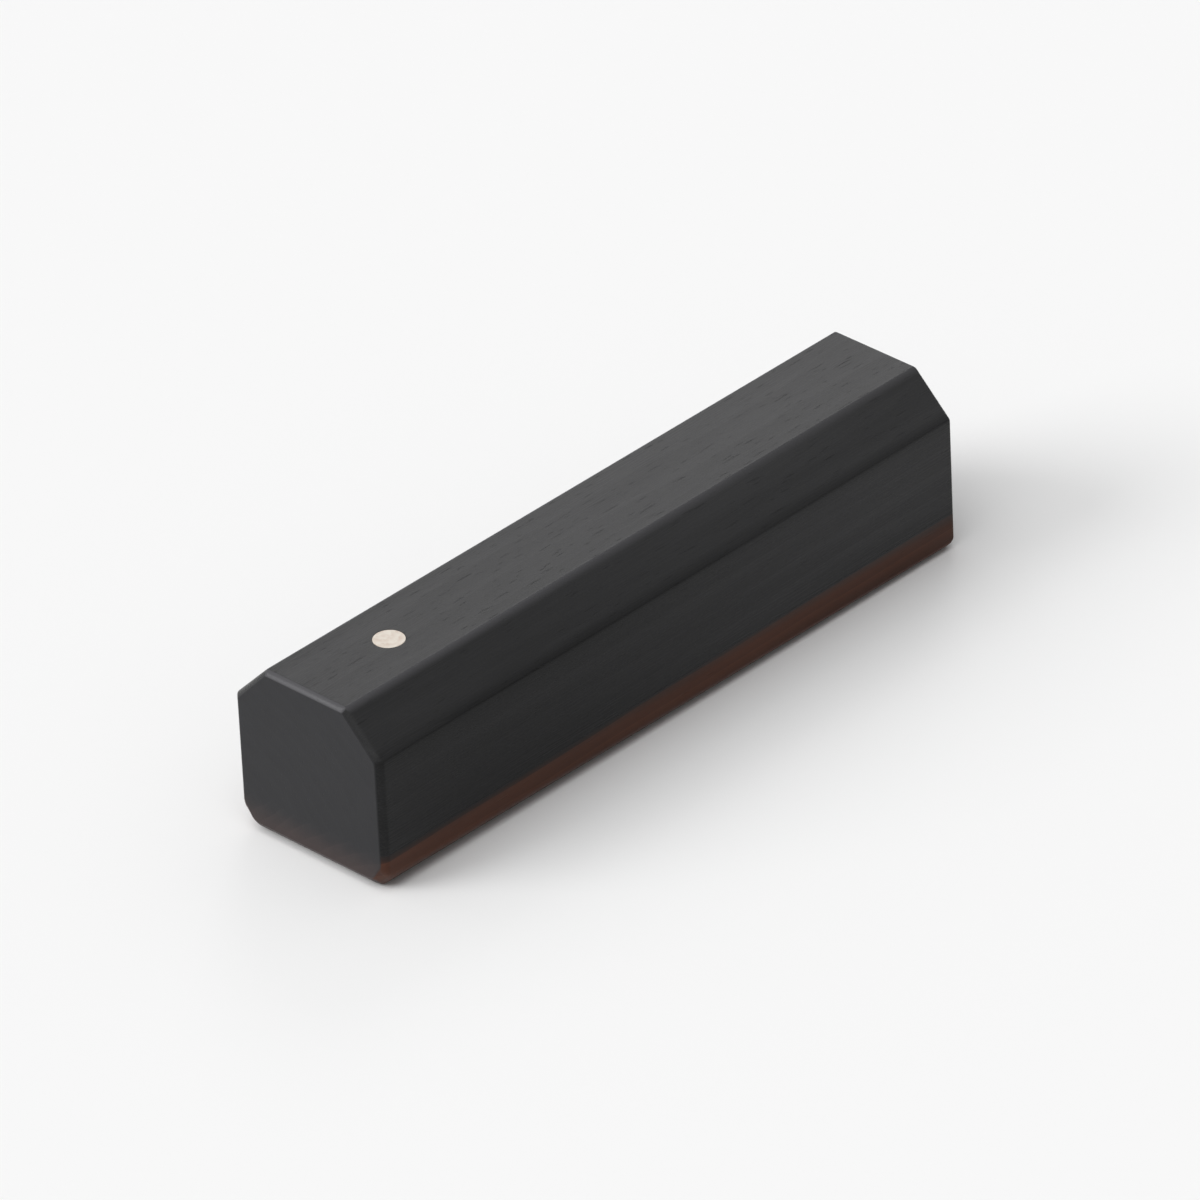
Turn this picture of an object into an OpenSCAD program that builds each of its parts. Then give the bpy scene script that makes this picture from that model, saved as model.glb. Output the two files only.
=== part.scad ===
// Chopstick rest: a short bevelled bar of black wood on a thin sole of brown wood, with one small
// pin inlaid in its flat top. The bar runs along Y and stands on z = 0, with its middle over the
// origin. The end with the pin is the one towards -Y.

/* [Bar] */
// Length of the rest
rest_l = 50; // [40:0.5:70]
// Width of the rest
rest_w = 12; // [9:0.1:16]
// Height of the rest, from the table to its flat top
rest_h = 12; // [9:0.1:16]
// Width and height of the bevel along each upper long edge
bevel = 2.75; // [1:0.05:3]

/* [Eased edges] */
// Width and height of the small flat that eases the edges of both ends
end_ease = 0.35; // [0.1:0.05:0.8]
// Width of the small flat that eases the upper long edges, measured along each face
long_ease = 0.2; // [0.05:0.05:0.4]
// Width and height of the small flat round the foot
foot_ease = 0.7; // [0.1:0.05:0.9]

/* [Sole] */
// Thickness of the sole
sole_t = 2.7; // [1.5:0.1:3.5]

/* [Inlay pin] */
// Diameter of the pin
pin_d = 2; // [1:0.1:2.8]
// Length of the pin
pin_l = 5; // [2:0.25:5]
// Distance from the end of the rest to the middle of the pin
pin_inset = 7.25; // [3:0.25:20]
// Small flat round the lower end of the pin
pin_lead = 0.25; // [0:0.05:0.4]
// Gap for glue between the pin and the wall of its bore
pin_gap = 0.02; // [0:0.01:0.05]

/* [Hidden] */
// Facets of the pin and its bore
$fn = 96;
// Cuts run past the surface they start from by this much
overrun = 1;

// Half of the section's width and height, and half of the flat top's width
half_w = rest_w / 2;
half_h = rest_h / 2;
half_top_w = half_w - bevel;
half_l = rest_l / 2;
// A length that holds the whole rest from any side
whole = rest_l + rest_w + rest_h;
// Place of the pin's axis along the rest
pin_y = pin_inset - half_l;

// Tilt from level of the bevel, the side and the underside
bevel_turn = 45;
side_turn = 90;
under_turn = 180;
// Tilt of the small flats, each halfway between the two faces that it eases
top_ease_turn = bevel_turn / 2;
side_ease_turn = (bevel_turn + side_turn) / 2;
foot_ease_turn = (side_turn + under_turn) / 2;

// Distance from the middle of the section to a face that runs through the point x, z, where turn
// is the face's tilt from level
function face_reach(x, z, turn) = x * sin(turn) + z * cos(turn);

// The same for a small flat that takes ease off each of the two faces that meet in that point, where
// bend is the angle between those faces' normals
function ease_reach(x, z, turn, ease, bend) = face_reach(x, z, turn) - ease * sin(bend / 2);

// The faces of one side, from the top edge down to the foot: tilt, distance from the middle of the
// section, and the small flat that eases the face's end
side_faces = [
    [top_ease_turn, ease_reach(half_top_w, half_h, top_ease_turn, long_ease, bevel_turn), end_ease],
    [bevel_turn, face_reach(half_top_w, half_h, bevel_turn), end_ease],
    [side_ease_turn, ease_reach(half_w, half_h - bevel, side_ease_turn, long_ease, bevel_turn), end_ease],
    [side_turn, half_w, end_ease],
    [foot_ease_turn, ease_reach(half_w, -half_h, foot_ease_turn, foot_ease, side_turn), foot_ease],
];

// Slab as long as the rest, whose upper face lies reach above the middle. A small flat eases the
// edge where that face meets each end.
module eased_slab(reach, ease) {
    rotate([90, 0, 90])
        linear_extrude(height = whole, center = true)
            polygon([
                [-half_l, -whole],
                [half_l, -whole],
                [half_l, reach - ease],
                [half_l - ease, reach],
                [ease - half_l, reach],
                [-half_l, reach - ease]
            ]);
}

// Outer form of the finished rest: what all its slabs, one to a face, have in common
module blank() {
    translate([0, 0, half_h])
        intersection() {
            eased_slab(half_h, end_ease);
            rotate([0, under_turn, 0])
                eased_slab(half_h, foot_ease);
            intersection_for(side = [-1, 1])
                intersection_for(face = side_faces)
                    rotate([0, side * face[0], 0])
                        eased_slab(face[1], face[2]);
        }
}

// Block that holds everything from height low to height high
module layer(low, high) {
    translate([-whole / 2, -whole / 2, low])
        cube([whole, whole, high - low]);
}

// Bar of black wood, with the blind bore for the pin
module body() {
    color("#2c2c2e")
        difference() {
            intersection() {
                blank();
                layer(sole_t, rest_h + overrun);
            }
            translate([0, pin_y, rest_h - pin_l])
                cylinder(h = pin_l + overrun, d = pin_d + 2 * pin_gap);
        }
}

// Strip of brown wood under the body, glued to it face to face
module sole() {
    color("#5b3426")
        intersection() {
            blank();
            layer(-overrun, sole_t);
        }
}

// Pale rod that stands on the floor of its bore and ends flush with the top
module inlay_pin() {
    pin_r = pin_d / 2;
    color("#dcd3c6")
        translate([0, pin_y, rest_h - pin_l])
            rotate_extrude()
                polygon([
                    [0, 0],
                    [pin_r - pin_lead, 0],
                    [pin_r, pin_lead],
                    [pin_r, pin_l],
                    [0, pin_l]
                ]);
}

body();
sole();
inlay_pin();
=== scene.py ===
"""Looks of a chopstick rest: a short bevelled bar of black wood, glued on a thin brown sole.

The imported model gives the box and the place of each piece. The piece is built here again with its
rounded arrises, and dressed in a wood whose pattern runs through it as real grain does.
"""

import logging
import math
from dataclasses import dataclass
from enum import Enum

import bmesh
import bpy
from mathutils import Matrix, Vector

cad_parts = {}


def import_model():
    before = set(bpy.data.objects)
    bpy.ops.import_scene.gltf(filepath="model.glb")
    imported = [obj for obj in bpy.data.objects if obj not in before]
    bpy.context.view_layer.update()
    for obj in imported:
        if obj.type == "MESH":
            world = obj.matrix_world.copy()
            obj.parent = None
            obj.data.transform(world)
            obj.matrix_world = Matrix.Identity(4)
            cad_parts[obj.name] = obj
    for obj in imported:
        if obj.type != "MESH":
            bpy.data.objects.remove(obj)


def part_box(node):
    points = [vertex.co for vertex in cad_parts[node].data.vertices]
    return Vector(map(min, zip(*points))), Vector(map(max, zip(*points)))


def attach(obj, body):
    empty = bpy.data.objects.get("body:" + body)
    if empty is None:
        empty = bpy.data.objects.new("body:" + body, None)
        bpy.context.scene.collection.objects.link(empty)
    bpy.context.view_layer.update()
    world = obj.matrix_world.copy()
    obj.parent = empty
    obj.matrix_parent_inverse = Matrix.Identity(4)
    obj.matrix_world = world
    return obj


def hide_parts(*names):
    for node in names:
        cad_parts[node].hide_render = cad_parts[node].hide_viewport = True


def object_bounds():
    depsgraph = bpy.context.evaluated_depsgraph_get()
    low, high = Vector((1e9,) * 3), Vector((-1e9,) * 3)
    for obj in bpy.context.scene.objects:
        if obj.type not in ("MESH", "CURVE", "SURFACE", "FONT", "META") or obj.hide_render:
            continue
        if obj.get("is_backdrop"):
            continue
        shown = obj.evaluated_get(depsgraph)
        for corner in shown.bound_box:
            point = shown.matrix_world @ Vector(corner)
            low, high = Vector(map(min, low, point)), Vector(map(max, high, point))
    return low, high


LOG = logging.getLogger("chopstick_rest")

MM = 0.001
BODY_NAME = "root"

Socket = bpy.types.NodeSocket
Value = float | Socket
Colour = tuple[float, float, float]
Tint = Colour | Socket

BLACK: Colour = (0.0, 0.0, 0.0)

# Turns a place in metres into one in millimetres.
IN_MM = (1 / MM, 1 / MM, 1 / MM)

# The bevels slope at 45 degrees, so this is both the sine and the cosine of their slope.
BEVEL_SINE = math.sqrt(0.5)

# The Mix node has its own sockets for numbers and for colours.
MIX_SHARE = 0
MIX_NUMBERS = (2, 3)
MIX_COLOURS = (6, 7)
MIXED_NUMBER = 0
MIXED_COLOUR = 2


class Layer(Enum):
    """The two glued layers of the bar."""

    BODY = "body"
    SOLE = "sole"


class Tree:
    """Adds nodes to a node tree and joins them, so that a tree reads as a list of steps."""

    def __init__(self, tree: bpy.types.NodeTree) -> None:
        """Keeps the tree and clears what it holds.

        Args:
            tree: The node tree to fill.
        """
        self.tree = tree
        tree.nodes.clear()

    def add(
        self, kind: str, inputs: dict[str | int, object] | None = None, **settings: object
    ) -> bpy.types.Node:
        """Adds one node.

        Args:
            kind: The node's type name.
            inputs: A value or a socket for each named or numbered input.
            settings: The node's own properties.

        Returns:
            The new node.
        """
        node = self.tree.nodes.new(kind)
        for name, value in settings.items():
            setattr(node, name, value)
        for key, value in (inputs or {}).items():
            self.put(node.inputs[key], value)
        return node

    def put(self, target: Socket, value: object) -> None:
        """Sets an input, or joins it to the socket that feeds it.

        Args:
            target: The input.
            value: A plain value, or the output socket to join.
        """
        if isinstance(value, bpy.types.NodeSocket):
            self.tree.links.new(value, target)
        else:
            target.default_value = value

    def math(self, operation: str, *values: Value) -> Socket:
        """Works out one sum on numbers.

        Args:
            operation: The Math node's operation.
            values: Its numbers or sockets, in order.

        Returns:
            The result.
        """
        node = self.add("ShaderNodeMath", dict(enumerate(values)), operation=operation)
        return node.outputs[0]

    def vector(self, operation: str, *values: object) -> Socket:
        """Works out one sum on vectors that gives a vector.

        Args:
            operation: The Vector Math node's operation.
            values: Its vectors or sockets, in order.

        Returns:
            The resulting vector.
        """
        node = self.add("ShaderNodeVectorMath", dict(enumerate(values)), operation=operation)
        return node.outputs["Vector"]

    def measure(self, operation: str, *values: object) -> Socket:
        """Works out one sum on vectors that gives a number.

        Args:
            operation: The Vector Math node's operation.
            values: Its vectors or sockets, in order.

        Returns:
            The resulting number.
        """
        node = self.add("ShaderNodeVectorMath", dict(enumerate(values)), operation=operation)
        return node.outputs["Value"]

    def parts(self, vector: Socket) -> list[Socket]:
        """Splits a vector.

        Args:
            vector: The vector's socket.

        Returns:
            Its x, y and z sockets.
        """
        return list(self.add("ShaderNodeSeparateXYZ", {0: vector}).outputs)

    def join(self, x: Value, y: Value, z: Value) -> Socket:
        """Makes a vector from three numbers.

        Args:
            x: First part.
            y: Second part.
            z: Third part.

        Returns:
            The vector's socket.
        """
        return self.add("ShaderNodeCombineXYZ", {0: x, 1: y, 2: z}).outputs[0]

    def ramp(self, value: Value, low: float, high: float, start: Value = 0.0, end: Value = 1.0) -> Socket:
        """Leads smoothly from start to end while value goes from low to high.

        Args:
            value: The number that steers it.
            low: The number at which it leaves start.
            high: The number at which it reaches end.
            start: The result below low.
            end: The result above high.

        Returns:
            The result.
        """
        node = self.add(
            "ShaderNodeMapRange",
            {0: value, 1: low, 2: high, 3: start, 4: end},
            interpolation_type="SMOOTHSTEP",
        )
        return node.outputs[0]

    def mix(self, share: Value, first: Tint, second: Tint) -> Socket:
        """Mixes two colours.

        Args:
            share: Share of the second colour.
            first: A colour or a socket.
            second: A colour or a socket.

        Returns:
            The mixed colour.
        """
        node = self.add("ShaderNodeMix", {MIX_SHARE: share}, data_type="RGBA")
        for index, colour in zip(MIX_COLOURS, (first, second)):
            self.put(node.inputs[index], (*colour, 1.0) if isinstance(colour, tuple) else colour)
        return node.outputs[MIXED_COLOUR]

    def blend(self, share: Socket, first: Value, second: Value) -> Socket:
        """Mixes two numbers.

        Args:
            share: Share of the second number.
            first: A number or a socket.
            second: A number or a socket.

        Returns:
            The mixed number.
        """
        inputs = {MIX_SHARE: share} | dict(zip(MIX_NUMBERS, (first, second)))
        return self.add("ShaderNodeMix", inputs, data_type="FLOAT").outputs[MIXED_NUMBER]

    def choose(self, share: Socket, chosen: Socket, other: Socket) -> Socket:
        """Takes one of two lengths.

        Args:
            share: 1 takes the first, 0 the second.
            chosen: The first length.
            other: The second length.

        Returns:
            The length.
        """
        return self.math("MULTIPLY_ADD", share, self.math("SUBTRACT", chosen, other), other)

    def noise(self, place: Socket, scale: float, detail: float) -> Socket:
        """Adds a noise.

        Args:
            place: Where it is looked up.
            scale: How many features it has over one unit of place.
            detail: How many finer layers it has.

        Returns:
            The noise, from 0 to 1.
        """
        node = self.add("ShaderNodeTexNoise", {"Vector": place, "Scale": scale, "Detail": detail})
        return node.outputs[0]

    def surface(self, colour: Socket, roughness: Socket, ior: float, normal: Socket) -> None:
        """Makes the shader and joins it to the material's output.

        Args:
            colour: The surface's colour.
            roughness: Its roughness.
            ior: Its index of refraction, which says how strongly it reflects.
            normal: The way it faces, bumps and all.
        """
        shader = self.add(
            "ShaderNodeBsdfPrincipled",
            {"Base Color": colour, "Roughness": roughness, "IOR": ior, "Normal": normal},
        )
        self.add("ShaderNodeOutputMaterial", {"Surface": shader.outputs[0]})

    def store(self, geometry: Socket, name: str, kind: str, value: Socket) -> Socket:
        """Writes a named value on every point.

        Args:
            geometry: The geometry to write on.
            name: The attribute's name.
            kind: Its data type.
            value: Its value.

        Returns:
            The geometry with the attribute.
        """
        node = self.add(
            "GeometryNodeStoreNamedAttribute",
            {"Geometry": geometry, "Name": name, "Value": value},
            data_type=kind,
            domain="POINT",
        )
        return node.outputs[0]

    def read(self, name: str, kind: str) -> Socket:
        """Reads a named value of every point.

        Args:
            name: The attribute's name.
            kind: Its data type.

        Returns:
            The value.
        """
        return self.add("GeometryNodeInputNamedAttribute", {"Name": name}, data_type=kind).outputs[0]


@dataclass(frozen=True)
class BarSizes:
    """Sizes of the whole bar, in metres. The box comes from the frame, all else is the maker's.

    An ease is a narrow, slightly crowned flat that takes off an arris. The near end is the one with
    the pin, at low Y. At the foot, long_foot_ease runs along both sides and foot_ease along both
    ends. Both narrow evenly towards the far end, where only the share foot_taper of them is left.
    The radii round what is left of the long arrises.
    """

    half_length: float
    half_width: float
    height: float
    glue_height: float
    bevel: float = 2.75 * MM
    near_side_ease: float = 0.42 * MM
    far_side_ease: float = 0.2 * MM
    top_ease: float = 0.28 * MM
    foot_ease: float = 0.8 * MM
    long_foot_ease: float = 1.03 * MM
    foot_taper: float = 0.5
    arris_radius: float = 0.3 * MM
    foot_radius: float = 0.8 * MM
    glue_radius: float = 0.02 * MM

    @classmethod
    def from_frame(cls) -> "BarSizes":
        """Reads the bar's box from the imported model."""
        sole_low, sole_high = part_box("sole")
        body_low, body_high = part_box("body")
        return cls(
            half_length=(body_high.y - body_low.y) / 2,
            half_width=(body_high.x - body_low.x) / 2,
            height=body_high.z - sole_low.z,
            glue_height=sole_high.z,
        )


@dataclass(frozen=True)
class PinSizes:
    """Sizes and place of the inlaid pin, in metres.

    The gap lies between the pin and its bore. The rim is the radius that rounds the edge of the
    pin's top, and the lead is the width of the chamfer round its foot.
    """

    centre: Vector
    radius: float
    length: float
    top: float
    gap: float = 0.02 * MM
    rim: float = 0.04 * MM
    lead: float = 0.25 * MM
    segments: int = 72
    rim_steps: int = 4

    @classmethod
    def from_frame(cls) -> "PinSizes":
        """Reads the pin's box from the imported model."""
        low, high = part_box("inlay_pin")
        return cls(
            centre=(low + high) / 2,
            radius=(high.x - low.x) / 2,
            length=high.z - low.z,
            top=high.z,
        )


@dataclass(frozen=True)
class WoodGrain:
    """How a wood's pattern lies in a piece, in millimetres.

    Growth rings run round the heart, which lies at x, z outside the piece. They sway by some rings
    along the length, and late_wood is the power that thins each ring's light part. A detail is the
    number of a noise's finer layers. Pores begin where their noise is above pore_start, and are
    full above pore_full.
    """

    heart: tuple[float, float]
    ring: float
    ring_share: float
    late_wood: float = 2.5
    sway: float = 5.0
    sway_length: float = 30.0
    sway_detail: float = 2.0
    sway_rings: float = 1.6
    streak: float = 1.3
    streak_length: float = 16.0
    streak_detail: float = 3.0
    fibre: float = 0.11
    fibre_length: float = 2.6
    fibre_detail: float = 2.0
    pore: float = 0.15
    pore_length: float = 1.8
    pore_detail: float = 1.0
    pore_start: float = 0.65
    pore_full: float = 0.76


@dataclass(frozen=True)
class WoodFinish:
    """An oiled wood: grain along Y, pores, end grain, wearing, painted highlights and painted shade.

    Between the two places along Y in run, the wearing and painted highlight of the upper long
    arrises, the painted dark line along the lower arrises of the bevels and the painted shades of the
    sides and the bevels go from their first number to their second. A painted shade is a share of the
    tone of the top, which darkens or lightens a face as light would, and a darkness is a share of
    black. Wear is top_hold times narrower on the top than on the bevel. Places, widths and depths
    are in millimetres, and the bump's height is in metres.
    """

    name: str
    dark: Colour
    light: Colour
    end_tone: Colour
    wear_and_highlight_tone: Colour
    grain: WoodGrain
    roughness: float
    end_roughness: float
    ior: float
    run: tuple[float, float] = (-16.0, 20.0)
    painted_side_shade: tuple[float, float] = (1.0, 1.0)
    painted_bevel_shade: tuple[float, float] = (1.0, 1.0)
    fibre_share: float = 0.22
    end_contrast: float = 0.08
    end_depth: float = 0.06
    pore_darkness: float = 0.2
    wear_and_highlight_width: float = 0.08
    worn_polish: float = 0.06
    long_wear_and_highlight: tuple[float, float] = (0.92, 0.6)
    long_width: float = 0.42
    top_hold: float = 3.0
    painted_line_darkness: tuple[float, float] = (0.42, 0.36)
    line_width: float = 0.65
    fibre_roughness: float = 0.1
    streak_relief: float = 0.5
    fibre_relief: float = 0.2
    pore_relief: float = 0.3
    bump: float = 0.02 * MM

    def build(self, bar: BarSizes) -> bpy.types.Material:
        """Makes the material.

        Args:
            bar: The bar's sizes, which say where its arrises and ends are.

        Returns:
            The material.
        """
        material = bpy.data.materials.new(self.name)
        material.use_nodes = True
        tree = Tree(material.node_tree)
        place = tree.add("ShaderNodeTexCoord").outputs["Object"]
        spot = tree.vector("MULTIPLY", place, IN_MM)
        end = self.end_share(tree, spot, bar)
        wear_and_highlight, dark = self.arrises(tree, spot, bar)
        streaks, rings, fibres, pores = self.pattern(tree, spot)
        tone = tree.math("MULTIPLY_ADD", rings, self.grain.ring_share, streaks)
        tone = tree.math("MULTIPLY_ADD", fibres, self.fibre_share, tone)
        colour = self.colour(tree, spot, tone, end)
        colour = tree.mix(tree.math("MULTIPLY", pores, self.pore_darkness), colour, BLACK)
        # Painted shade: a dark line along the lower arrises of the bevels.
        colour = tree.mix(dark, colour, BLACK)
        # Wearing and a painted highlight along the upper arrises.
        colour = tree.mix(wear_and_highlight, colour, self.wear_and_highlight_tone)
        least_rough = self.roughness - self.fibre_roughness / 2
        rough = tree.math("MULTIPLY_ADD", fibres, self.fibre_roughness, least_rough)
        rough = tree.blend(end, rough, self.end_roughness)
        rough = tree.math("MULTIPLY_ADD", wear_and_highlight, -self.worn_polish, rough)
        height = tree.math("MULTIPLY", fibres, self.fibre_relief)
        height = tree.math("MULTIPLY_ADD", pores, -self.pore_relief, height)
        height = tree.math("MULTIPLY_ADD", streaks, self.streak_relief, height)
        bump = tree.add("ShaderNodeBump", {"Strength": 1.0, "Distance": self.bump, "Height": height})
        tree.surface(colour, rough, self.ior, bump.outputs[0])
        return material

    def colour(self, tree: Tree, spot: Socket, tone: Socket, end: Socket) -> Socket:
        """Colours the long grain and the end grain, with painted shade on the sides and the bevels.

        Args:
            tree: The material's tree.
            spot: Place in the piece, in millimetres.
            tone: The grain's tone, from 0 to about 1.
            end: 1 on end grain, 0 on long grain.

        Returns:
            The colour's socket.
        """
        # Painted shade: the sides and the bevels take a share of the top's tone by how they face, and that
        # share changes along the bar.
        upward = tree.parts(tree.add("ShaderNodeTexCoord").outputs["Normal"])[2]
        y = tree.parts(spot)[1]
        painted_side_shade = tree.ramp(y, *self.run, *self.painted_side_shade)
        painted_bevel_shade = tree.ramp(y, *self.run, *self.painted_bevel_shade)
        shade = tree.ramp(upward, 0.0, BEVEL_SINE, painted_side_shade, painted_bevel_shade)
        shade = tree.ramp(upward, BEVEL_SINE, 1.0, shade, 1.0)
        long_grain = tree.mix(tone, self.dark, self.light)
        shaded = tree.vector("MULTIPLY", long_grain, tree.join(shade, shade, shade))
        return tree.mix(end, shaded, self.end_colour(tree, tone))

    def pattern(self, tree: Tree, spot: Socket) -> list[Socket]:
        """Lays the wood's pattern through the piece.

        Args:
            tree: The material's tree.
            spot: Place in the piece, in millimetres.

        Returns:
            Streaks, growth rings, fibres and pores, each from 0 to 1.
        """
        grain = self.grain
        streaks = self.drawn_out(tree, spot, grain.streak, grain.streak_length, grain.streak_detail)
        fibres = self.drawn_out(tree, spot, grain.fibre, grain.fibre_length, grain.fibre_detail)
        specks = self.drawn_out(tree, spot, grain.pore, grain.pore_length, grain.pore_detail)
        pores = tree.ramp(specks, grain.pore_start, grain.pore_full)
        sway = self.drawn_out(tree, spot, grain.sway, grain.sway_length, grain.sway_detail)
        x, _, z = tree.parts(spot)
        heart_x, heart_z = grain.heart
        across = tree.join(tree.math("SUBTRACT", x, heart_x), 0.0, tree.math("SUBTRACT", z, heart_z))
        reach = tree.measure("LENGTH", across)
        turns = tree.math("MULTIPLY_ADD", sway, grain.sway_rings, tree.math("DIVIDE", reach, grain.ring))
        rings = tree.math("POWER", tree.math("FRACT", turns), grain.late_wood)
        return [streaks, rings, fibres, pores]

    def drawn_out(self, tree: Tree, spot: Socket, across: float, along: float, detail: float) -> Socket:
        """Adds a noise drawn out along the grain.

        Args:
            tree: The material's tree.
            spot: Place in the piece, in millimetres.
            across: Size of its features across the grain, in millimetres.
            along: Their length along the grain.
            detail: How many finer layers it has.

        Returns:
            The noise, from 0 to 1.
        """
        return tree.noise(tree.vector("DIVIDE", spot, (across, along, across)), 1.0, detail)

    def end_share(self, tree: Tree, spot: Socket, bar: BarSizes) -> Socket:
        """Tells end grain from long grain.

        Args:
            tree: The material's tree.
            spot: Place in the piece, in millimetres.
            bar: The bar's sizes.

        Returns:
            1 on both ends and on the flats at their feet, falling to 0 just behind them.
        """
        _, y, z = tree.parts(spot)
        half_length = bar.half_length / MM
        to_end = tree.math("SUBTRACT", half_length, tree.math("ABSOLUTE", y))
        far_share = tree.math("MULTIPLY_ADD", y, 0.5 / half_length, 0.5)
        near_ease = bar.foot_ease / MM
        ease = tree.math("MULTIPLY_ADD", far_share, near_ease * (bar.foot_taper - 1), near_ease)
        taken_off = tree.math("MAXIMUM", tree.math("SUBTRACT", ease, z), 0.0)
        return tree.ramp(tree.math("SUBTRACT", to_end, taken_off), 0.0, self.end_depth, 1.0, 0.0)

    def arrises(self, tree: Tree, spot: Socket, bar: BarSizes) -> tuple[Socket, Socket]:
        """Finds the arrises lightened by wearing and a painted highlight, and the painted dark line.

        Args:
            tree: The material's tree.
            spot: Place in the piece, in millimetres.
            bar: The bar's sizes.

        Returns:
            Shares of wearing with painted highlight, and of painted shade, each from 0 to 1.
        """
        x, y, z = tree.parts(spot)
        to_top = tree.math("SUBTRACT", bar.height / MM, z)
        to_side = tree.math("SUBTRACT", bar.half_width / MM, tree.math("ABSOLUTE", x))
        to_end = tree.math("SUBTRACT", bar.half_length / MM, tree.math("ABSOLUTE", y))
        from_corner = tree.math("SUBTRACT", tree.math("ADD", to_top, to_side), bar.bevel / MM)
        to_bevel = tree.math("MULTIPLY", from_corner, BEVEL_SINE)
        ease = bar.top_ease / MM
        # Along the top arrises of both ends: wearing and a painted highlight.
        end = tree.ramp(tree.math("ADD", to_top, to_end), ease, ease + self.wear_and_highlight_width, 1.0, 0.0)
        arris_wear_and_highlight = tree.ramp(y, *self.run, *self.long_wear_and_highlight)
        # Wearing and painted highlight reach further down the bevel than over the top.
        from_arris = tree.math("MULTIPLY_ADD", to_bevel, self.top_hold, to_top)
        upper = tree.ramp(from_arris, 0.0, self.long_width, arris_wear_and_highlight, 0.0)
        # Painted shade along the lower arrises of the bevels, a little stronger at the near end.
        darkness = tree.ramp(y, *self.run, *self.painted_line_darkness)
        from_line = tree.math("MAXIMUM", to_side, to_bevel)
        lower = tree.ramp(from_line, 0.0, self.line_width, darkness, 0.0)
        return tree.math("MAXIMUM", end, upper), lower

    def end_colour(self, tree: Tree, tone: Socket) -> Socket:
        """Colours the end grain a little darker or lighter with the grain's tone.

        Args:
            tree: The material's tree.
            tone: The grain's tone, from 0 to about 1.

        Returns:
            The colour's socket.
        """
        low = tuple(part * (1 - self.end_contrast) for part in self.end_tone)
        high = tuple(part * (1 + self.end_contrast) for part in self.end_tone)
        return tree.mix(tone, low, high)


BLACK_WOOD = WoodFinish(
    name="black_wood",
    dark=(0.023, 0.023, 0.0235),
    light=(0.0425, 0.0425, 0.0435),
    end_tone=(0.0285, 0.0285, 0.0305),
    # A light, slightly blue tone for wearing and a painted highlight on the arrises.
    wear_and_highlight_tone=(0.083, 0.082, 0.087),
    grain=WoodGrain(heart=(-11.0, -7.0), ring=1.05, ring_share=0.3),
    roughness=0.27,
    end_roughness=0.42,
    ior=1.21,
    # Painted shade: the sides are darker than the top and the bevels close to it, both lighter towards the
    # far end.
    painted_side_shade=(0.42, 0.85),
    painted_bevel_shade=(0.93, 1.18),
)


@dataclass(frozen=True)
class StainedWood(WoodFinish):
    """A wood that has taken up black stain from its upper face, and more of it through its ends.

    Stain makes it look like the wood named by stained. Each fade is a pair of heights in
    millimetres: the wood's own colour at the first, all stain at the second.
    """

    stained: WoodFinish = BLACK_WOOD
    long_fade: tuple[float, float] = (1.7, 2.7)
    end_fade: tuple[float, float] = (0.6, 2.6)
    fade_sway: float = 0.5

    def colour(self, tree: Tree, spot: Socket, tone: Socket, end: Socket) -> Socket:
        """Colours the grain and lets the stain fade in towards the upper face.

        Args:
            tree: The material's tree.
            spot: Place in the piece, in millimetres.
            tone: The grain's tone, from 0 to about 1.
            end: 1 on end grain, 0 on long grain.

        Returns:
            The colour's socket.
        """
        clean = super().colour(tree, spot, tone, end)
        # The stained colour carries the black wood's painted shade of the sides and the bevels.
        stained = self.stained.colour(tree, spot, tone, end)
        sway = tree.math("MULTIPLY_ADD", tone, self.fade_sway, -self.fade_sway / 2)
        height = tree.math("SUBTRACT", tree.parts(spot)[2], sway)
        long_share = tree.ramp(height, *self.long_fade)
        end_share = tree.ramp(height, *self.end_fade)
        return tree.mix(tree.blend(end, long_share, end_share), clean, stained)


@dataclass(frozen=True)
class PinFinish:
    """The pale end of the pin: fine dots, and faint rings round a point beside its middle.

    The width of a ring, the point's offset and the size of the dots are in millimetres, and the
    bump's height is in metres. The colour turns warm from the tone warm_start up.
    """

    name: str
    pale: Colour
    warm: Colour
    roughness: float
    ior: float
    ring: float = 0.55
    ring_offset: float = 0.5
    ring_share: float = 0.5
    mottle: float = 0.35
    mottle_detail: float = 3.0
    mottle_roughness: float = 0.12
    warm_start: float = 0.35
    bump_strength: float = 0.5
    bump: float = 0.01 * MM

    def build(self, pin: PinSizes) -> bpy.types.Material:
        """Makes the material.

        Args:
            pin: The pin's sizes, which say where its axis is.

        Returns:
            The material.
        """
        material = bpy.data.materials.new(self.name)
        material.use_nodes = True
        tree = Tree(material.node_tree)
        place = tree.add("ShaderNodeTexCoord").outputs["Object"]
        from_axis = tree.vector("SUBTRACT", place, tuple(pin.centre))
        spot = tree.vector("MULTIPLY", from_axis, IN_MM)
        x, y, _ = tree.parts(spot)
        mottle = tree.noise(spot, 1 / self.mottle, self.mottle_detail)
        reach = tree.measure("LENGTH", tree.join(tree.math("ADD", x, self.ring_offset), y, 0.0))
        turns = tree.math("ADD", tree.math("DIVIDE", reach, self.ring), mottle)
        # Each ring rises to a half and falls back to 0.
        rings = tree.math("PINGPONG", turns, 0.5)
        tone = tree.math("MULTIPLY_ADD", rings, self.ring_share, mottle)
        colour = tree.mix(tree.ramp(tone, self.warm_start, 1.0), self.pale, self.warm)
        least_rough = self.roughness - self.mottle_roughness / 2
        rough = tree.math("MULTIPLY_ADD", mottle, self.mottle_roughness, least_rough)
        bump = tree.add(
            "ShaderNodeBump", {"Strength": self.bump_strength, "Distance": self.bump, "Height": tone}
        )
        tree.surface(colour, rough, self.ior, bump.outputs[0])
        return material


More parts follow.
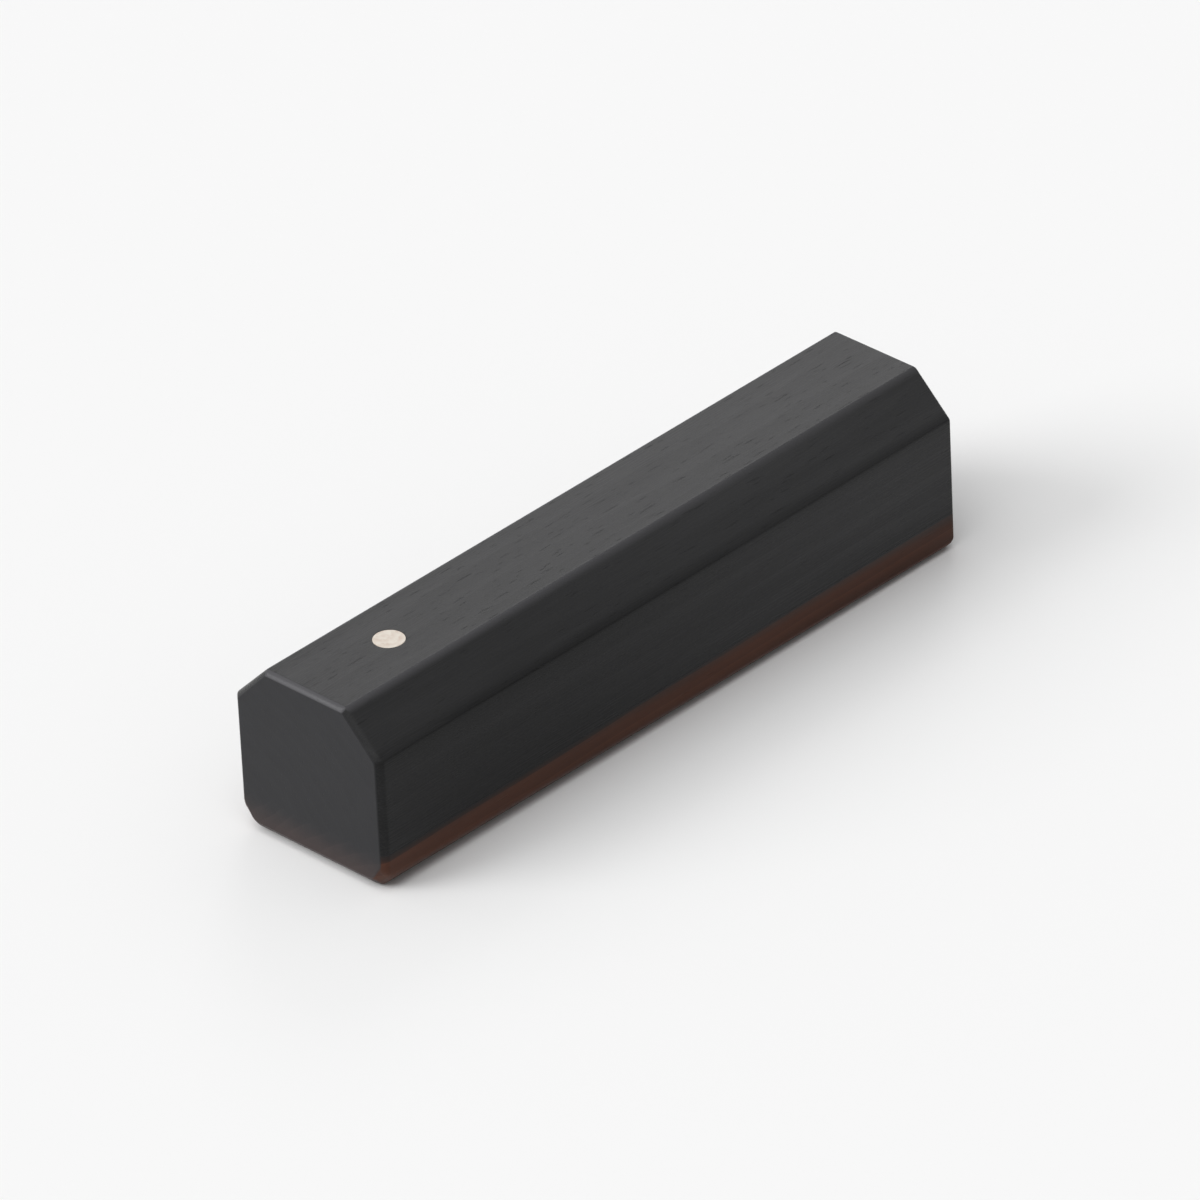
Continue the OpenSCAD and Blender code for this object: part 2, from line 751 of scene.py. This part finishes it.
BROWN_WOOD = StainedWood(
    name="brown_wood",
    dark=(0.032, 0.013, 0.008),
    light=(0.08, 0.031, 0.018),
    end_tone=(0.052, 0.04, 0.039),
    wear_and_highlight_tone=(0.08, 0.031, 0.018),
    grain=WoodGrain(heart=(14.0, -16.0), ring=0.8, ring_share=0.4),
    roughness=0.36,
    end_roughness=0.44,
    ior=1.22,
)
PALE_WOOD = PinFinish(
    name="pale_wood",
    pale=(0.745, 0.685, 0.605),
    warm=(0.61, 0.51, 0.43),
    roughness=0.45,
    ior=1.45,
)


@dataclass
class Bar:
    """The bar's two glued layers, swept along Y and eased at both ends.

    The sweep's stations are drawn towards both ends by the power crowding. The crown is the power
    of the curve that an ease follows: 1 is flat, 2 is a quarter round. The bore's cutter stands out
    of the top by its overrun, and edges that bend by less than soft_angle degrees look smooth.
    """

    sizes: BarSizes
    pin: PinSizes
    stations: int = 121
    crowding: float = 2.5
    arc_steps: int = 8
    crown: float = 1.25
    overrun: float = 1.0 * MM
    soft_angle: float = 40.0

    def build(self) -> list[bpy.types.Object]:
        """Makes both layers, dresses them and sets them on their body.

        Returns:
            The finished pieces.
        """
        pieces = []
        for layer, finish in ((Layer.BODY, BLACK_WOOD), (Layer.SOLE, BROWN_WOOD)):
            piece = self.make_layer(layer, finish.build(self.sizes))
            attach(piece, BODY_NAME)
            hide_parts(layer.value)
            pieces.append(piece)
        return pieces

    def make_layer(self, layer: Layer, material: bpy.types.Material) -> bpy.types.Object:
        """Runs the layer's tree once and keeps its result as a plain mesh.

        Args:
            layer: Which layer to make.
            material: Its finish.

        Returns:
            The piece.
        """
        name = f"{layer.value}_wood"
        piece = bpy.data.objects.new(name, bpy.data.meshes.new(name))
        bpy.context.scene.collection.objects.link(piece)
        group = self.shape_group(layer)
        shape = piece.modifiers.new("shape", "NODES")
        shape.node_group = group
        sockets = [item for item in group.interface.items_tree if item.in_out == "INPUT"]
        identifiers = {item.name: item.identifier for item in sockets}
        for title, value in self.given_values(layer, material).items():
            shape[identifiers[title]] = value
        normals = piece.modifiers.new("even_shading", "WEIGHTED_NORMAL")
        normals.keep_sharp = True
        bpy.context.view_layer.update()
        evaluated = piece.evaluated_get(bpy.context.evaluated_depsgraph_get())
        mesh = bpy.data.meshes.new_from_object(evaluated)
        mesh.name = name
        piece.modifiers.clear()
        piece.data = mesh
        return piece

    def given_values(self, layer: Layer, material: bpy.types.Material) -> dict[str, object]:
        """Gives the tree's inputs for one layer.

        Args:
            layer: Which layer.
            material: Its finish.

        Returns:
            A value for each named input.
        """
        bar = self.sizes
        values: dict[str, object] = {
            "Half Length": bar.half_length,
            "Half Width": bar.half_width,
            "Near Side Ease": bar.near_side_ease,
            "Far Side Ease": bar.far_side_ease,
            "Material": material,
        }
        if layer is Layer.BODY:
            values |= {
                "Low": bar.glue_height,
                "High": bar.height,
                "Cut": bar.bevel,
                "Upper Radius": bar.arris_radius,
                "Lower Radius": bar.glue_radius,
                "Upper Ease": bar.top_ease,
                "Lower Ease": 0.0,
                "Foot Taper": 1.0,
            }
        else:
            values |= {
                "Low": 0.0,
                "High": bar.glue_height,
                "Cut": bar.long_foot_ease,
                "Upper Radius": bar.glue_radius,
                "Lower Radius": bar.foot_radius,
                "Upper Ease": 0.0,
                "Lower Ease": bar.foot_ease,
                "Foot Taper": bar.foot_taper,
            }
        return values

    def shape_group(self, layer: Layer) -> bpy.types.NodeTree:
        """Builds the tree that sweeps a layer's section along the bar.

        Args:
            layer: Which layer. Only the body is bored.

        Returns:
            The geometry node tree.
        """
        group = bpy.data.node_groups.new(f"{layer.value}_shape", "GeometryNodeTree")
        tree = Tree(group)
        lengths = ("Half Length", "Half Width", "Low", "High", "Cut", "Upper Radius", "Lower Radius")
        eases = ("Near Side Ease", "Far Side Ease", "Upper Ease", "Lower Ease", "Foot Taper")
        for title in (*lengths, *eases):
            group.interface.new_socket(title, in_out="INPUT", socket_type="NodeSocketFloat")
        group.interface.new_socket("Material", in_out="INPUT", socket_type="NodeSocketMaterial")
        group.interface.new_socket("Geometry", in_out="OUTPUT", socket_type="NodeSocketGeometry")
        given = tree.add("NodeGroupInput").outputs
        section = self.section(tree, given, layer)
        path = self.path(tree, given)
        swept = tree.add(
            "GeometryNodeCurveToMesh",
            {"Curve": path, "Profile Curve": section, "Fill Caps": True},
        ).outputs[0]
        solid = self.eased(tree, given, swept)
        if layer is Layer.BODY:
            solid = self.bored(tree, solid)
        smooth = self.shaded(tree, solid)
        real = tree.add("GeometryNodeRealizeInstances", {0: smooth}).outputs[0]
        dressed = tree.add("GeometryNodeSetMaterial", {"Geometry": real, "Material": given["Material"]})
        tree.add("NodeGroupOutput", {0: dressed.outputs[0]})
        return group

    def section(self, tree: Tree, given: bpy.types.NodeOutputs, layer: Layer) -> Socket:
        """Draws the layer's section with its rounded arrises.

        Args:
            tree: The tree.
            given: The tree's inputs.
            layer: Which layer. The body's upper corners are cut off, and the sole's lower ones.

        Returns:
            A closed curve whose points know their place, their way outwards and their end ease.
        """
        height = tree.math("SUBTRACT", given["High"], given["Low"])
        outline = tree.add(
            "GeometryNodeCurvePrimitiveQuadrilateral",
            {"Width": tree.math("MULTIPLY", given["Half Width"], 2.0), "Height": height},
        ).outputs[0]
        place = tree.add("GeometryNodeInputPosition").outputs[0]
        x, y, _ = tree.parts(place)
        upper = tree.math("GREATER_THAN", y, 0.0)
        cuts = upper if layer is Layer.BODY else tree.math("SUBTRACT", 1.0, upper)
        outline = tree.add(
            "GeometryNodeFilletCurve",
            {"Curve": outline, "Count": cuts, "Radius": given["Cut"]},
            mode="POLY",
        ).outputs[0]
        tangent = tree.add("GeometryNodeInputTangent").outputs[0]
        following = tree.add("GeometryNodeOffsetPointInCurve", {"Offset": 1}).outputs["Point Index"]
        ahead = tree.add(
            "GeometryNodeFieldAtIndex",
            {"Index": following, "Value": place},
            data_type="FLOAT_VECTOR",
        ).outputs[0]
        edge = tree.vector("NORMALIZE", tree.vector("SUBTRACT", ahead, place))
        # Divided by the cosine of half its turn, a corner's way outwards moves both faces alike.
        cosine = tree.measure("DOT_PRODUCT", tangent, edge)
        along_x, along_y, _ = tree.parts(tangent)
        rise = tree.math("DIVIDE", along_x, cosine)
        if layer is Layer.SOLE:
            # The flat round the foot rises as a whole, which cuts the foot's four corners too.
            rise = tree.math("SIGN", rise)
        outward = tree.join(tree.math("DIVIDE", along_y, cosine), 0.0, tree.math("MULTIPLY", rise, -1.0))
        outline = tree.store(outline, "outward", "FLOAT_VECTOR", outward)
        ease = tree.choose(upper, given["Upper Ease"], given["Lower Ease"])
        outline = tree.store(outline, "end_ease", "FLOAT", ease)
        radius = tree.choose(upper, given["Upper Radius"], given["Lower Radius"])
        outline = tree.add(
            "GeometryNodeFilletCurve",
            {"Curve": outline, "Count": self.arc_steps, "Radius": radius},
            mode="POLY",
        ).outputs[0]
        middle = tree.math("MULTIPLY", tree.math("ADD", given["High"], given["Low"]), 0.5)
        drawn = tree.join(x, 0.0, tree.math("ADD", y, middle))
        return tree.store(outline, "drawn", "FLOAT_VECTOR", drawn)

    def path(self, tree: Tree, given: bpy.types.NodeOutputs) -> Socket:
        """Lays the stations along the bar, crowded towards both ends, where it is eased.

        Args:
            tree: The tree.
            given: The tree's inputs.

        Returns:
            A curve whose points know their place along the bar.
        """
        line = tree.add("GeometryNodeCurvePrimitiveLine", {"Start": (0, 0, 0), "End": (0, 1, 0)}).outputs[0]
        line = tree.add("GeometryNodeResampleCurve", {"Curve": line, "Count": self.stations}).outputs[0]
        index = tree.add("GeometryNodeInputIndex").outputs[0]
        run = tree.math("MULTIPLY_ADD", index, 2.0 / (self.stations - 1), -1.0)
        to_end = tree.math("SUBTRACT", 1.0, tree.math("ABSOLUTE", run))
        share = tree.math("SUBTRACT", 1.0, tree.math("POWER", to_end, self.crowding))
        from_middle = tree.math("MULTIPLY", share, given["Half Length"])
        station = tree.math("MULTIPLY", from_middle, tree.math("SIGN", run))
        return tree.store(line, "station", "FLOAT", station)

    def eased(self, tree: Tree, given: bpy.types.NodeOutputs, swept: Socket) -> Socket:
        """Puts every point in its place and draws the section in towards both ends.

        Args:
            tree: The tree.
            given: The tree's inputs.
            swept: The swept mesh.

        Returns:
            The eased mesh.
        """
        station = tree.read("station", "FLOAT")
        end_ease = tree.read("end_ease", "FLOAT")
        drawn_x, _, drawn_z = tree.parts(tree.read("drawn", "FLOAT_VECTOR"))
        out_x, _, out_z = tree.parts(tree.read("outward", "FLOAT_VECTOR"))
        share = self.foot_share(tree, given, station, end_ease)
        half_width = given["Half Width"]
        inset = tree.math("SUBTRACT", half_width, tree.math("ABSOLUTE", drawn_x))
        spread = tree.math("SUBTRACT", half_width, tree.math("MULTIPLY", inset, share))
        spread_x = tree.math("MULTIPLY", spread, tree.math("SIGN", drawn_x))
        sunk_z = tree.math("MULTIPLY", drawn_z, share)
        reach = tree.math("SUBTRACT", given["Half Length"], tree.math("ABSOLUTE", station))
        is_far = tree.math("GREATER_THAN", station, 0.0)
        side_ease = tree.choose(is_far, given["Far Side Ease"], given["Near Side Ease"])
        inwards_x = self.drawn_in(tree, reach, side_ease)
        inwards_z = self.drawn_in(tree, reach, tree.math("MULTIPLY", end_ease, share))
        x = tree.math("SUBTRACT", spread_x, tree.math("MULTIPLY", out_x, inwards_x))
        z = tree.math("SUBTRACT", sunk_z, tree.math("MULTIPLY", out_z, inwards_z))
        place = tree.join(x, station, z)
        placed = tree.add("GeometryNodeSetPosition", {"Geometry": swept, "Position": place})
        cleaned = tree.add("GeometryNodeFlipFaces", {0: placed.outputs[0]})
        for name in ("station", "drawn", "outward", "end_ease"):
            inputs = {"Geometry": cleaned.outputs[0], "Name": name}
            cleaned = tree.add("GeometryNodeRemoveAttribute", inputs)
        return cleaned.outputs[0]

    def foot_share(
        self, tree: Tree, given: bpy.types.NodeOutputs, station: Socket, end_ease: Socket
    ) -> Socket:
        """Narrows the flat round the foot towards the far end.

        Args:
            tree: The tree.
            given: The tree's inputs.
            station: Each point's place along the bar.
            end_ease: Each point's end ease. In the sole, only its foot has one above 0.

        Returns:
            The share of its size that the section's foot keeps, and 1 for every other point.
        """
        from_middle = tree.math("DIVIDE", station, given["Half Length"])
        far_share = tree.math("MULTIPLY_ADD", from_middle, 0.5, 0.5)
        lost = tree.math("MULTIPLY", tree.math("SUBTRACT", 1.0, given["Foot Taper"]), far_share)
        has_ease = tree.math("GREATER_THAN", end_ease, 0.0)
        return tree.math("SUBTRACT", 1.0, tree.math("MULTIPLY", lost, has_ease))

    def drawn_in(self, tree: Tree, reach: Socket, ease: Socket) -> Socket:
        """Works out how far an ease draws a face in.

        Args:
            tree: The tree.
            reach: Distance from the bar's end.
            ease: The ease's width, along the bar and across it.

        Returns:
            The distance inwards, which is the whole ease at the end itself.
        """
        into = tree.math("MAXIMUM", tree.math("DIVIDE", tree.math("SUBTRACT", ease, reach), ease), 0.0)
        rest = tree.math("MAXIMUM", tree.math("SUBTRACT", 1.0, tree.math("POWER", into, self.crown)), 0.0)
        kept = tree.math("POWER", rest, 1.0 / self.crown)
        return tree.math("MULTIPLY", tree.math("SUBTRACT", 1.0, kept), ease)

    def bored(self, tree: Tree, solid: Socket) -> Socket:
        """Cuts the blind bore for the pin.

        Args:
            tree: The tree.
            solid: The body.

        Returns:
            The body with its bore.
        """
        pin = self.pin
        depth = pin.length + self.overrun
        cutter = tree.add(
            "GeometryNodeMeshCylinder",
            {"Vertices": pin.segments, "Radius": pin.radius + pin.gap, "Depth": depth},
        ).outputs[0]
        middle = pin.top - pin.length + depth / 2
        moved = tree.add(
            "GeometryNodeTransform",
            {"Geometry": cutter, "Translation": (pin.centre.x, pin.centre.y, middle)},
        ).outputs[0]
        cut = tree.add(
            "GeometryNodeMeshBoolean",
            {"Mesh 1": solid, "Mesh 2": moved},
            operation="DIFFERENCE",
            solver="MANIFOLD",
        )
        return cut.outputs[0]

    def shaded(self, tree: Tree, solid: Socket) -> Socket:
        """Shades the rounds smoothly and keeps the hard edges hard.

        Args:
            tree: The tree.
            solid: The mesh.

        Returns:
            The shaded mesh.
        """
        angle = tree.add("GeometryNodeInputMeshEdgeAngle").outputs[0]
        soft = tree.math("LESS_THAN", angle, math.radians(self.soft_angle))
        node = tree.add(
            "GeometryNodeSetShadeSmooth", {"Geometry": solid, "Shade Smooth": soft}, domain="EDGE"
        )
        return node.outputs[0]


@dataclass
class InlayPin:
    """The pale pin, glued into its bore and sanded flush with the top."""

    sizes: PinSizes

    def build(self) -> bpy.types.Object:
        """Makes the pin, dresses it and sets it on its body.

        Returns:
            The finished piece.
        """
        mesh = bpy.data.meshes.new("pin_wood")
        self.turned(self.profile(), mesh)
        mesh.materials.append(PALE_WOOD.build(self.sizes))
        piece = bpy.data.objects.new(mesh.name, mesh)
        bpy.context.scene.collection.objects.link(piece)
        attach(piece, BODY_NAME)
        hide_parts("inlay_pin")
        return piece

    def profile(self) -> list[tuple[float, float]]:
        """Gives the pin's outline from its foot to its flat top.

        Returns:
            Radius and height of each ring.
        """
        pin = self.sizes
        foot = pin.top - pin.length
        quarter_turn = math.tau / 4
        points = [(pin.radius - pin.lead, foot), (pin.radius, foot + pin.lead)]
        for step in range(pin.rim_steps + 1):
            turn = quarter_turn * step / pin.rim_steps
            radius = pin.radius - pin.rim * (1 - math.cos(turn))
            height = pin.top - pin.rim * (1 - math.sin(turn))
            points.append((radius, height))
        return points

    def turned(self, profile: list[tuple[float, float]], mesh: bpy.types.Mesh) -> None:
        """Turns an outline round the pin's axis into a closed mesh.

        Args:
            profile: Radius and height of each ring, from the foot up.
            mesh: The mesh to fill.
        """
        pin = self.sizes
        shape = bmesh.new()
        rings = []
        for radius, height in profile:
            ring = []
            for step in range(pin.segments):
                turn = math.tau * step / pin.segments
                x = pin.centre.x + radius * math.cos(turn)
                y = pin.centre.y + radius * math.sin(turn)
                ring.append(shape.verts.new((x, y, height)))
            rings.append(ring)
        for lower, upper in zip(rings, rings[1:]):
            for step in range(pin.segments):
                after = (step + 1) % pin.segments
                face = shape.faces.new((lower[step], lower[after], upper[after], upper[step]))
                face.smooth = True
        shape.faces.new(list(reversed(rings[0])))
        shape.faces.new(rings[-1])
        shape.to_mesh(mesh)
        shape.free()


@dataclass(frozen=True)
class Lamp:
    """A wide soft lamp, far away. Its angles are in degrees, and its share is of the floor's light."""

    name: str
    azimuth: float
    elevation: float
    angle: float
    share: float

    def build(self) -> None:
        """Hangs the lamp."""
        elevation = math.radians(self.elevation)
        azimuth = math.radians(self.azimuth)
        lamp = bpy.data.lights.new(self.name, "SUN")
        lamp.angle = math.radians(self.angle)
        lamp.energy = math.pi * self.share / math.sin(elevation)
        level = math.cos(elevation)
        towards = Vector((level * math.cos(azimuth), level * math.sin(azimuth), math.sin(elevation)))
        holder = bpy.data.objects.new(self.name, lamp)
        holder.rotation_mode = "QUATERNION"
        holder.rotation_quaternion = towards.to_track_quat("Z", "Y")
        bpy.context.scene.collection.objects.link(holder)


@dataclass
class Studio:
    """Pale floor, a soft bright room and three wide soft lamps: at the left, above and at the back.

    The floor reaches floor_reach metres each way. The room's level rises from its walls to its
    ceiling, and lean is its change along x and y.
    """

    lamps: tuple[Lamp, ...] = (
        Lamp("left_lamp", azimuth=-121.0, elevation=30.0, angle=34.0, share=0.235),
        Lamp("top_lamp", azimuth=-80.0, elevation=68.0, angle=50.0, share=0.315),
        Lamp("back_lamp", azimuth=129.0, elevation=31.0, angle=20.0, share=0.037),
    )
    floor_albedo: float = 0.895
    floor_reach: float = 8.0
    floor_glow: float = 0.94
    wall_level: float = 0.25
    ceiling_level: float = 0.5
    ceiling_start: float = 0.7
    lean: tuple[float, float] = (-0.3, -0.15)
    horizon: float = 0.04

    def build(self) -> None:
        """Makes the floor, the world and the lamps."""
        self.lay_floor()
        self.light_room()
        for lamp in self.lamps:
            lamp.build()

    def lay_floor(self) -> None:
        """Lays the floor."""
        mesh = bpy.data.meshes.new("floor")
        reach = self.floor_reach
        corners = [(-reach, -reach, 0), (reach, -reach, 0), (reach, reach, 0), (-reach, reach, 0)]
        mesh.from_pydata(corners, [], [(0, 1, 2, 3)])
        material = bpy.data.materials.new("pale_floor")
        material.use_nodes = True
        tree = Tree(material.node_tree)
        albedo = self.floor_albedo
        shader = tree.add("ShaderNodeBsdfDiffuse", {"Color": (albedo, albedo, albedo, 1.0)})
        tree.add("ShaderNodeOutputMaterial", {"Surface": shader.outputs[0]})
        mesh.materials.append(material)
        floor = bpy.data.objects.new("floor", mesh)
        bpy.context.scene.collection.objects.link(floor)
        floor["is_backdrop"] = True

    def light_room(self) -> None:
        """Lights the room from above and the left, with the floor's tone below the horizon."""
        world = bpy.data.worlds.new("room")
        bpy.context.scene.world = world
        world.use_nodes = True
        tree = Tree(world.node_tree)
        way = tree.add("ShaderNodeTexCoord").outputs["Generated"]
        x, y, z = tree.parts(way)
        lean = tree.math("MULTIPLY_ADD", x, self.lean[0], tree.math("MULTIPLY", y, self.lean[1]))
        height = tree.ramp(z, 0.0, self.ceiling_start, self.wall_level, self.ceiling_level)
        room = tree.math("MULTIPLY", tree.math("ADD", lean, 1.0), height)
        level = tree.ramp(z, 0.0, self.horizon, self.floor_glow, room)
        background = tree.add("ShaderNodeBackground", {"Color": tree.join(level, level, level)})
        tree.add("ShaderNodeOutputWorld", {"Surface": background.outputs[0]})


@dataclass
class ViewCamera:
    """The camera at the photograph's place, turned to the object and with a longer lens.

    Its place and its first aim, the middle of the photograph, are in metres.
    """

    place: Vector = Vector((453.0, -454.8, 412.7)) * MM
    first_aim: Vector = Vector((66.0, 10.53, 0.0)) * MM
    lens: float = 380.0
    sensor: float = 36.0

    def build(self, target: Vector) -> None:
        """Makes the camera. It keeps its upright of the first aim, so the object lies as it did there.

        Args:
            target: The point in the middle of the picture.
        """
        first = self.first_aim - self.place
        second = target - self.place
        upright = first.to_track_quat("-Z", "Y")
        turn = first.rotation_difference(second)
        data = bpy.data.cameras.new("camera")
        data.lens = self.lens
        data.sensor_width = self.sensor
        camera = bpy.data.objects.new("camera", data)
        camera.location = self.place
        camera.rotation_mode = "QUATERNION"
        camera.rotation_quaternion = turn @ upright
        bpy.context.scene.collection.objects.link(camera)
        bpy.context.scene.camera = camera


def main() -> None:
    """Builds the pieces, the studio and the camera in order."""
    logging.basicConfig(level=logging.INFO, format="%(name)s: %(message)s")
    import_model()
    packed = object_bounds()
    bpy.context.scene.view_settings.view_transform = "Standard"
    ViewCamera().build((packed[0] + packed[1]) / 2)
    Studio().build()
    bar = BarSizes.from_frame()
    pin = PinSizes.from_frame()
    for piece in [*Bar(bar, pin).build(), InlayPin(pin).build()]:
        LOG.info("%s: %d faces", piece.name, len(piece.data.polygons))


if __name__ == "__main__":
    main()
